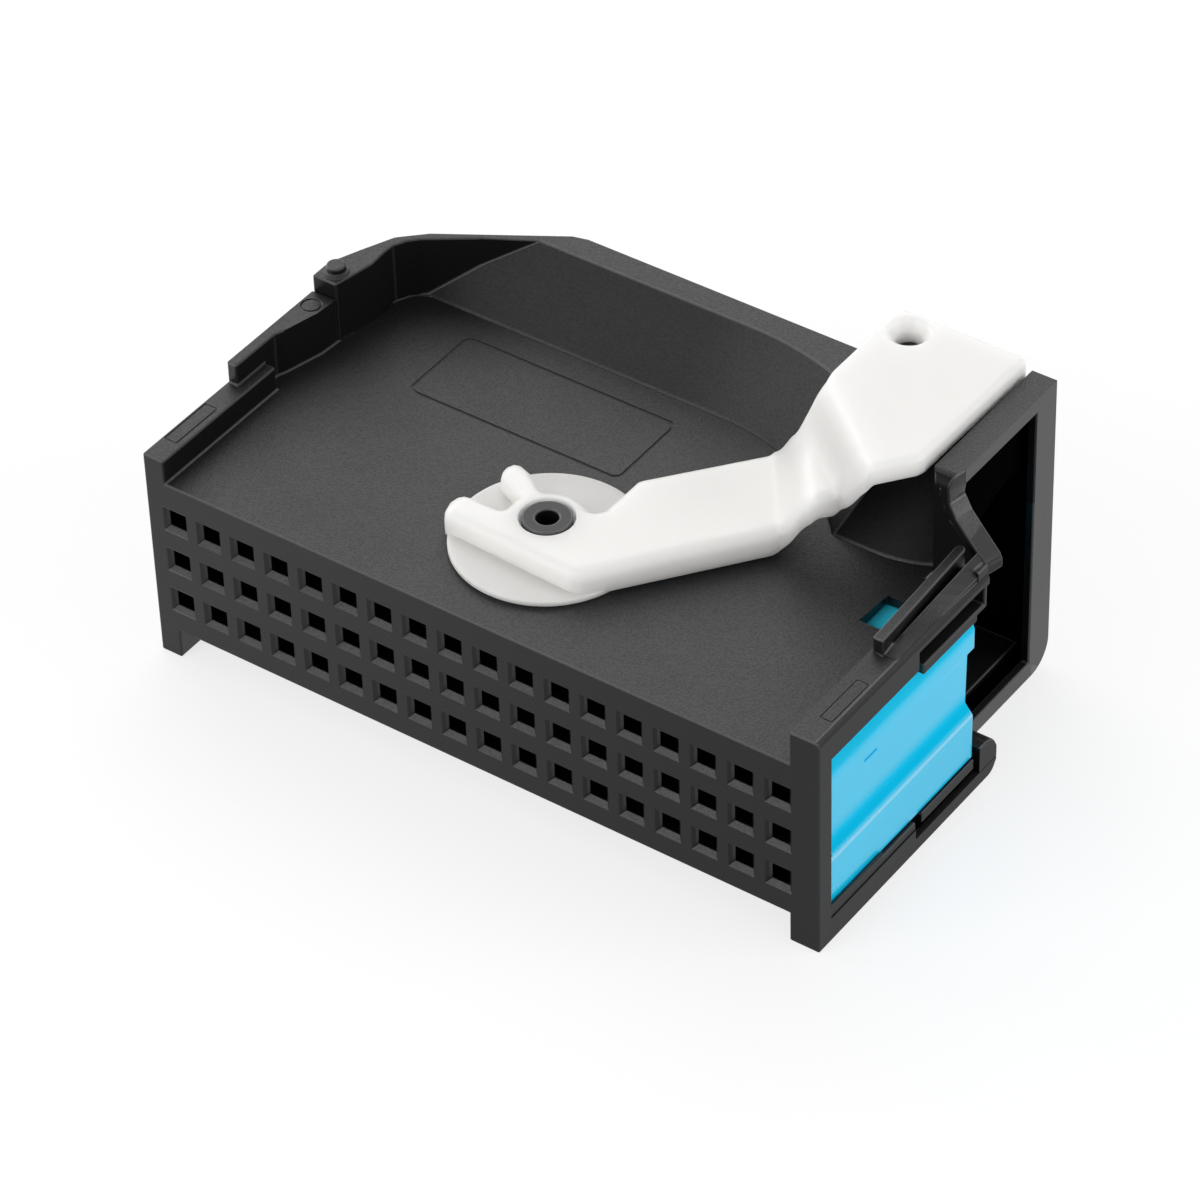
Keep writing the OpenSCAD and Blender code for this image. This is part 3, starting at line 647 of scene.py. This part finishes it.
# plan of the lever, clockwise from the front claw: x, y and corner radius, from the pivot
CLAWS = (
    (-8.3, -4.7, 0.6), (-8.9, -3.85, 0.3), (-9.2, -2.8, 0.3), (-9.05, -1.85, 0.3),
    (-8.5, -1.2, 0.3), (-7.7, -1.04, 0.3), (-4.3, -1.1, 0.5), (-4.3, 1.4, 0.5),
    (-7.45, 2.9, 0.3), (-7.8, 3.6, 0.3), (-7.85, 4.2, 0.3), (-7.45, 5.05, 0.3),
    (-6.6, 5.3, 0.3), (-5.3, 4.85, 0.4), (-4.0, 3.95, 0.4), (-2.9, 3.2, 0.5),
)
NECK = ((2.6, 3.3, 0.4), (3.1, 3.5, 0.3), (3.5, 4.1, 0.3), (3.55, 9.1, 0.4), (3.9, 9.7, 0.4))
# plan of the crank and grip, from the mating face: x, y and corner radius
GRIP = (
    (11.4, 32.55, 0.6), (14.8, 31.3, 0.6), (16.5, 33.15, 0.6), (16.5, DEPTH, 0.9),
    (30.6, DEPTH, 0.9), (30.3, 28.4, 0.6), (30.0, 27.6, 0.6), (27.2, 24.05, 0.8),
    (23.4, 25.1, 0.6), (21.55, 23.1, 0.6), (18.45, 23.0, 0.8),
)
# front corners of the arm, from the pivot
ARM_FRONT = ((7.45, -4.9, 0.9), (6.4, -5.4, 0.9))
# bend lines of the crank, inner end and outer end
BENDS = (
    ((11.4, 32.55), (18.45, 23.0)),
    ((14.8, 31.3), (21.55, 23.1)),
    ((14.8, 31.3), (23.4, 25.1)),
    ((16.5, 33.15), (27.2, 24.05)),
)


def lever_corners():
    """Plan of the lever as corners with radii, in model millimetres."""
    hub = [
        (HUB_R * math.cos(turn), HUB_R * math.sin(turn), 0.1)
        for turn in map(math.radians, HUB_ARC)
    ]
    near, front = (
        [(x + PIVOT.x, y + PIVOT.y, radius) for x, y, radius in corners]
        for corners in ((*CLAWS, *hub, *NECK), ARM_FRONT)
    )
    return near + list(GRIP) + front


def rounded_outline(corners, spacing):
    """Points along a closed outline whose corners are turned with arcs."""
    points = []
    count = len(corners)
    for i, (x, y, radius) in enumerate(corners):
        here = Vector((x, y))
        back = Vector(corners[i - 1][:2]) - here
        on = Vector(corners[(i + 1) % count][:2]) - here
        turn = math.pi - back.angle(on)
        reach = min(radius * math.tan(turn / 2), CORNER_SHARE * min(back.length, on.length))
        first = here + back.normalized() * reach
        last = here + on.normalized() * reach
        steps = max(1, round(turn / CORNER_TURN))
        for k in range(steps + 1):
            share = k / steps
            points.append(
                first * (1 - share) ** 2 + here * 2 * share * (1 - share) + last * share ** 2
            )
    spread = []
    for i, point in enumerate(points):
        following = points[(i + 1) % len(points)]
        gap = (following - point).length
        if gap < 1e-4:
            continue
        steps = max(1, math.ceil(gap / spacing))
        for k in range(steps):
            spread.append(point.lerp(following, k / steps))
    return np.array([tuple(p) for p in spread])


def distance_to_outline(points, outline):
    """Distance of each point to the closed outline, and whether it lies inside."""
    low = outline
    line = np.roll(outline, -1, axis=0) - outline
    length = np.maximum((line ** 2).sum(1), 1e-12)
    nearest = np.full(len(points), 1e9)
    inside = np.zeros(len(points), bool)
    for a, d, size in zip(low, line, length):
        part = np.clip(((points - a) @ d) / size, 0, 1)
        nearest = np.minimum(nearest, np.hypot(*(points - a - part[:, None] * d).T))
        crosses = (a[1] > points[:, 1]) != (a[1] + d[1] > points[:, 1])
        if d[1]:
            at = a[0] + (points[:, 1] - a[1]) * d[0] / d[1]
            inside ^= crosses & (points[:, 0] < at)
    return nearest, inside


def soft_ramp(share, half=0.43):
    """0 to 1 in a straight slope with rounded ends."""
    rise = np.clip(share, half, 1 - half)
    low = np.where(np.abs(share) < half, (share + half) ** 2 / (4 * half), 0)
    high = np.where(np.abs(share - 1) < half, 1 - (1 - share + half) ** 2 / (4 * half), 1)
    return np.where(share < half, low, np.where(share > 1 - half, high, rise))


def past_line(points, bend):
    """Signed distance past a bend line, towards the grip."""
    inner, outer = (np.array(end) for end in bend)
    along = (outer - inner) / np.hypot(*(outer - inner))
    away = points - inner
    return away[:, 1] * along[0] - away[:, 0] * along[1]


def lever_heights(points):
    """Top of the lever and its thickness at each plan point."""
    past = [past_line(points, bend) for bend in BENDS]
    shares = []
    for near, far in ((past[0], past[1]), (past[2], past[3])):
        shares.append(soft_ramp(near / np.maximum(near - far, 1e-6)))
    top = ARM_TOP + (STEP_TOP - ARM_TOP) * shares[0] + (GRIP_TOP - STEP_TOP) * shares[1]
    thinned = THINNING[0] * shares[0] + THINNING[1] * shares[1]
    thick = ARM_THICK + (GRIP_THICK - ARM_THICK) * thinned
    return top, thick


def edge_radius(points, arm_edge):
    """Rounding of the lever's upper edges: full along the arm, tighter round the grip."""
    risen = (lever_heights(points)[0] - ARM_TOP) / (GRIP_TOP - ARM_TOP)
    return arm_edge * (1 - (1 - GRIP_EDGE) * np.clip(risen, 0, 1))


def edge_drop(depth, radius):
    """How far a rounded edge falls below the face, at a depth in from the outline."""
    short = np.clip(radius - depth, 0, radius)
    return radius - np.sqrt(radius ** 2 - short ** 2)


def lever_plate(edge, under_edge):
    """The bent plate of the lever as a closed mesh, without its holes and disc."""
    outline = rounded_outline(lever_corners(), OUTLINE_STEP)
    following = np.roll(outline, -1, axis=0) - np.roll(outline, 1, axis=0)
    inward = np.stack([following[:, 1], -following[:, 0]], 1)
    inward /= np.hypot(*inward.T)[:, None]
    inner = []
    radii = edge_radius(outline, edge)
    for k in range(1, ROUND_STEPS + 1):
        depth = radii * (1 - math.cos(math.radians(90 * k / ROUND_STEPS)))
        ring = outline + inward * depth[:, None]
        near, inside = distance_to_outline(ring, outline)
        inner.append(ring[inside & (near > depth - 0.01)])
    low, high = outline.min(0), outline.max(0)
    grid = np.stack(np.meshgrid(
        np.arange(low[0], high[0], FACE_STEP), np.arange(low[1], high[1], FACE_STEP)
    ), -1).reshape(-1, 2)
    near, inside = distance_to_outline(grid, outline)
    inner.append(grid[inside & (near > edge + FACE_MARGIN)])
    plan = np.concatenate([outline] + inner)
    count = len(outline)
    rim = [(i, (i + 1) % count) for i in range(count)]
    verts, _, faces, origin, _, _ = delaunay_2d_cdt(
        [Vector(p) for p in plan], rim, [], 1, 1e-6
    )
    plan = np.array([tuple(v) for v in verts])
    depth, _ = distance_to_outline(plan, outline)
    depth[depth < 1e-5] = 0
    top, thick = lever_heights(plan)
    upper = top - edge_drop(depth, edge_radius(plan, edge))
    lower = top - thick + edge_drop(depth, under_edge)
    bm = bmesh.new()
    tops = [bm.verts.new((x, y, z)) for (x, y), z in zip(plan, upper)]
    lows = [bm.verts.new((x, y, z)) for (x, y), z in zip(plan, lower)]
    for face in faces:
        bm.faces.new([tops[i] for i in face])
        bm.faces.new([lows[i] for i in reversed(face)])
    place = {old: new for new, olds in enumerate(origin) for old in olds}
    for i, j in rim:
        a, b = place[i], place[j]
        bm.faces.new((tops[a], tops[b], lows[b], lows[a]))
    bmesh.ops.recalc_face_normals(bm, faces=bm.faces)
    return bm


def turned_form(name, profile, centre, steps=96):
    """A closed turned body about an upright axis, from (radius, height) points."""
    bm = bmesh.new()
    rings = []
    for radius, height in profile:
        if radius == 0:
            rings.append([bm.verts.new((centre[0], centre[1], height))] * steps)
            continue
        rings.append([
            bm.verts.new((
                centre[0] + radius * math.cos(math.tau * i / steps),
                centre[1] + radius * math.sin(math.tau * i / steps), height,
            )) for i in range(steps)
        ])
    for low, high in zip(rings, rings[1:]):
        for i in range(steps):
            j = (i + 1) % steps
            corners = list(dict.fromkeys((low[i], low[j], high[j], high[i])))
            bm.faces.new(corners)
    bmesh.ops.recalc_face_normals(bm, faces=bm.faces)
    return loose_object(name, bm)


def carve(obj, other, operation):
    """Joins another form to a piece or cuts it away, then drops the other form."""
    step = obj.modifiers.new("carve", "BOOLEAN")
    step.operation = operation
    step.solver = "EXACT"
    step.object = other
    done = bpy.data.meshes.new_from_object(
        obj.evaluated_get(bpy.context.evaluated_depsgraph_get())
    )
    obj.modifiers.clear()
    obj.data = done
    bpy.data.objects.remove(other)
    bm = bmesh.new()
    bm.from_mesh(done)
    bmesh.ops.remove_doubles(bm, verts=bm.verts, dist=CARVE_WELD)
    bmesh.ops.dissolve_degenerate(bm, edges=bm.edges, dist=CARVE_WELD)
    bm.to_mesh(done)
    bm.free()


# settings

class ConnectorLook(bpy.types.PropertyGroup):
    """Sizes and finishes that a user would change."""

    edge: FloatProperty(
        name="Edge radius", description="Rounding of the black and blue mouldings' edges, in mm",
        default=0.16, min=0.0, max=0.4,
    )
    # painted highlight on the rounded black edges and the pin's edges
    edge_highlight: FloatProperty(
        name="Edge light", description="How much lighter the rounded black edges are",
        default=13.0, min=1.0, max=20.0,
    )
    lever_edge: FloatProperty(
        name="Lever edge radius", description="Rounding of the arm's upper edges, in mm",
        default=1.3, min=0.0, max=1.4,
    )
    grain_scale: FloatProperty(
        name="Grain", description="Grains per millimetre on the moulded skin",
        default=4.5, min=1.0, max=20.0,
    )
    grain_depth: FloatProperty(
        name="Grain depth", description="Depth of the moulded grain, in mm",
        default=0.04, min=0.0, max=0.2,
    )
    black_rough: FloatProperty(
        name="Black roughness", description="Roughness of the black mouldings",
        default=0.3, min=0.0, max=1.0, subtype="FACTOR",
    )
    white_rough: FloatProperty(
        name="White roughness", description="Roughness of the lever",
        default=0.4, min=0.0, max=1.0, subtype="FACTOR",
    )
    blue_rough: FloatProperty(
        name="Blue roughness", description="Roughness of the carrier",
        default=0.2, min=0.0, max=1.0, subtype="FACTOR",
    )
    pin_rough: FloatProperty(
        name="Pin roughness", description="Roughness of the pin",
        default=0.3, min=0.0, max=1.0, subtype="FACTOR",
    )
    black: FloatVectorProperty(
        name="Black", description="Colour of the housing and cover",
        default=(0.005, 0.005, 0.0053), min=0.0, max=1.0, size=3, subtype="COLOR",
    )
    white: FloatVectorProperty(
        name="White", description="Colour of the lever",
        default=(0.9, 0.89, 0.865), min=0.0, max=1.0, size=3, subtype="COLOR",
    )
    blue: FloatVectorProperty(
        name="Blue", description="Colour of the contact carrier",
        default=(0.004, 0.55, 0.85), min=0.0, max=1.0, size=3, subtype="COLOR",
    )
    pin: FloatVectorProperty(
        name="Pin", description="Colour of the pivot pin",
        default=(0.006, 0.006, 0.0063), min=0.0, max=1.0, size=3, subtype="COLOR",
    )


class ConnectorStage(bpy.types.PropertyGroup):
    """Camera and studio light."""

    lens: FloatProperty(
        name="Lens", description="Focal length on a 36 mm wide sensor, in mm",
        default=165.48, min=50.0, max=300.0, unit="CAMERA",
    )
    place: FloatVectorProperty(
        name="Camera place", description="Where the camera stands",
        default=(0.234515, -0.319668, 0.346393), size=3, unit="LENGTH",
    )
    turn: FloatVectorProperty(
        name="Camera turn", description="Rotation of the camera about X, Y and Z",
        default=(0.8636347, 0.0258212, 0.6154214), size=3, subtype="EULER", unit="ROTATION",
    )
    key_power: FloatProperty(
        name="Key light", description="Power of the large soft light behind on the left",
        default=4.6, min=0.0, max=60.0, unit="POWER",
    )
    right_power: FloatProperty(
        name="Right light", description="Power of the soft light on the right",
        default=5.2, min=0.0, max=60.0, unit="POWER",
    )
    left_power: FloatProperty(
        name="Left light", description="Power of the soft light on the left",
        default=3.0, min=0.0, max=60.0, unit="POWER",
    )
    front_power: FloatProperty(
        name="Front light", description="Power of the soft light in front on the left",
        default=5.0, min=0.0, max=60.0, unit="POWER",
    )
    sky: FloatProperty(
        name="Sky", description="Strength of the plain surrounding light",
        default=0.35, min=0.0, max=2.0,
    )
    floor_size: FloatProperty(
        name="Floor", description="Width of the pale floor",
        default=6.0, min=1.0, max=20.0, unit="LENGTH",
    )
    floor_lift: FloatProperty(
        name="Floor lift", description="Light added to the floor as the camera sees it",
        default=0.74, min=0.0, max=1.0,
    )
    floor_colour: FloatVectorProperty(
        name="Floor colour", description="Colour of the floor",
        default=(0.85, 0.85, 0.85), min=0.0, max=1.0, size=3, subtype="COLOR",
    )


# operators

class CONNECTOR_OT_mouldings(bpy.types.Operator):
    """Black housing and rear cover: grained plastic and rounded edges."""

    bl_idname = "connector.mouldings"
    bl_label = "Black mouldings"

    def execute(self, context):
        look = context.scene.connector_look
        for name, node, slot in (
            ("front_housing", "housing", "black_housing"),
            ("rear_cover", "wire_cover", "black_cover"),
        ):
            obj = rounded_moulding(name, node, look.edge)
            skin = black_moulding("black_" + name, look.black, look)
            # painted highlight: the rounded edges get a lighter copy of the black
            edges = black_moulding("edges_" + name, look.black, look, look.edge_highlight)
            dress(obj, node, slot, skin, edges)
        return {"FINISHED"}


class CONNECTOR_OT_carrier(bpy.types.Operator):
    """Blue contact carrier inside the housing."""

    bl_idname = "connector.carrier"
    bl_label = "Contact carrier"

    def execute(self, context):
        look = context.scene.connector_look
        obj = rounded_moulding("blue_carrier", "contact_carrier", look.edge)
        skin = blue_plastic("blue_satin_plastic", look.blue, look)
        # painted highlight: paler blue along the carrier's rims
        edges = blue_plastic("edges_blue_carrier", look.blue, look, RIM_HIGHLIGHT_SHARE)
        dress(obj, "contact_carrier", "blue_carrier", skin, edges)
        return {"FINISHED"}


class CONNECTOR_OT_lever(bpy.types.Operator):
    """White locking lever: a bent plate with soft edges, a thin disc and two holes."""

    bl_idname = "connector.lever"
    bl_label = "Lever"

    def execute(self, context):
        look = context.scene.connector_look
        obj = loose_object("white_lever", lever_plate(look.lever_edge, UNDER_EDGE))
        carve(obj, turned_form("disc", DISC, PIVOT), "UNION")
        carve(obj, turned_form("bore", BORE, PIVOT), "DIFFERENCE")
        carve(obj, turned_form("hole", HANDLE_HOLE, HOLE_PLACE), "DIFFERENCE")
        obj.data.transform(Matrix.Scale(MM, 4) @ Matrix.Translation((0, -DEPTH / 2, 0)))
        for face in obj.data.polygons:
            face.use_smooth = True
        obj.data.set_sharp_from_angle(angle=LEVER_SHARP)
        dress(obj, "lever", "white_lever", white_plastic(look.white, look))
        return {"FINISHED"}


class CONNECTOR_OT_pin(bpy.types.Operator):
    """Black pivot pin."""

    bl_idname = "connector.pin"
    bl_label = "Pivot pin"

    def execute(self, context):
        look = context.scene.connector_look
        obj = rounded_moulding("black_pin", "pivot_pin", PIN_EDGE, PIN_STEPS)
        skin = pin_black("smooth_black_pin", look.pin, look)
        # painted highlight: the pin's rounded edges get a lighter black
        edges = pin_black("edges_black_pin", tone(look.pin, look.edge_highlight), look)
        dress(obj, "pivot_pin", "black_pin", skin, edges)
        return {"FINISHED"}


# lamps: name, place, width, and the setting that holds the power
LAMPS = (
    ("key_light", (-0.45, 0.61, 0.65), 1.0, "key_power"),
    ("right_light", (0.9, 0.3, 0.3), 0.7, "right_power"),
    ("left_light", (-0.95, 0.05, 0.25), 0.7, "left_power"),
    ("front_light", (-0.3, -0.85, 0.46), 0.8, "front_power"),
)
LAMP_AIM = Vector((0.0, 0.0, 0.015))
SENSOR_WIDTH = 36.0
# how much of its own colour the floor keeps where the camera sees it
FLOOR_SEEN = 0.35


class CONNECTOR_OT_stage(bpy.types.Operator):
    """Camera, pale floor and soft studio light."""

    bl_idname = "connector.stage"
    bl_label = "Stage"

    def execute(self, context):
        stage = context.scene.connector_stage
        self.camera(context.scene, stage)
        self.floor(context.scene, stage)
        self.sky(context.scene, stage)
        for name, place, size, power in LAMPS:
            self.lamp(context.scene, name, place, size, getattr(stage, power))
        return {"FINISHED"}

    def camera(self, scene, stage):
        data = bpy.data.cameras.new("camera")
        data.sensor_width = SENSOR_WIDTH
        data.lens = stage.lens
        data.clip_start = 0.01
        data.clip_end = 20.0
        obj = bpy.data.objects.new("camera", data)
        obj.location = stage.place
        obj.rotation_euler = Euler(stage.turn, "XYZ")
        scene.collection.objects.link(obj)
        scene.camera = obj
        scene.view_settings.view_transform = "Standard"

    def floor(self, scene, stage):
        mesh = bpy.data.meshes.new("studio_floor")
        half = stage.floor_size / 2
        mesh.from_pydata(
            [(-half, -half, 0), (half, -half, 0), (half, half, 0), (-half, half, 0)],
            [], [(0, 1, 2, 3)],
        )
        obj = bpy.data.objects.new("studio_floor", mesh)
        scene.collection.objects.link(obj)
        finish = new_finish("pale_floor")
        colour = tuple(stage.floor_colour) + (1.0,)
        plain = finish.plastic(Base_Color=colour, Roughness=0.9, Specular_IOR_Level=0.0)
        lifted = finish.plastic(
            Base_Color=tone(colour, FLOOR_SEEN), Roughness=0.9, Specular_IOR_Level=0.0,
            Emission_Color=WHITE, Emission_Strength=stage.floor_lift,
        )
        shader = finish.blend(seen_rays(finish), plain, lifted)
        mesh.materials.append(finish.surface(shader))

    def sky(self, scene, stage):
        finish = Finish(bpy.data.worlds.new("studio"))
        light = finish.node("ShaderNodeBackground", None, {"Color": WHITE, "Strength": stage.sky})
        backdrop = finish.node("ShaderNodeBackground", None, {"Color": WHITE, "Strength": 1.0})
        shader = finish.blend(seen_rays(finish), light, backdrop)
        scene.world = finish.surface(shader, "World")

    def lamp(self, scene, name, place, size, power):
        data = bpy.data.lights.new(name, "AREA")
        data.shape = "SQUARE"
        data.size = size
        data.energy = power
        obj = bpy.data.objects.new(name, data)
        obj.location = place
        aim = LAMP_AIM - Vector(place)
        obj.rotation_euler = aim.to_track_quat("-Z", "Y").to_euler()
        scene.collection.objects.link(obj)


class CONNECTOR_PT_panel(bpy.types.Panel):
    """Sidebar panel with the connector's settings and steps."""

    bl_idname = "CONNECTOR_PT_panel"
    bl_label = "Wiring connector"
    bl_space_type = "VIEW_3D"
    bl_region_type = "UI"
    bl_category = "Connector"

    def draw(self, context):
        layout = self.layout
        for group in (context.scene.connector_look, context.scene.connector_stage):
            box = layout.box()
            for name in group.bl_rna.properties.keys():
                if name not in ("rna_type", "name"):
                    box.prop(group, name)
        for step in STEPS:
            layout.operator(step.bl_idname)


STEPS = (
    CONNECTOR_OT_mouldings,
    CONNECTOR_OT_carrier,
    CONNECTOR_OT_lever,
    CONNECTOR_OT_pin,
    CONNECTOR_OT_stage,
)
CLASSES = (ConnectorLook, ConnectorStage) + STEPS + (CONNECTOR_PT_panel,)


def register():
    for cls in CLASSES:
        bpy.utils.register_class(cls)
    bpy.types.Scene.connector_look = PointerProperty(type=ConnectorLook)
    bpy.types.Scene.connector_stage = PointerProperty(type=ConnectorStage)


def unregister():
    del bpy.types.Scene.connector_stage
    del bpy.types.Scene.connector_look
    for cls in reversed(CLASSES):
        bpy.utils.unregister_class(cls)


def main():
    register()
    bpy.ops.connector.mouldings()
    bpy.ops.connector.carrier()
    bpy.ops.connector.lever()
    bpy.ops.connector.pin()
    bpy.ops.connector.stage()


if __name__ == "__main__":
    main()
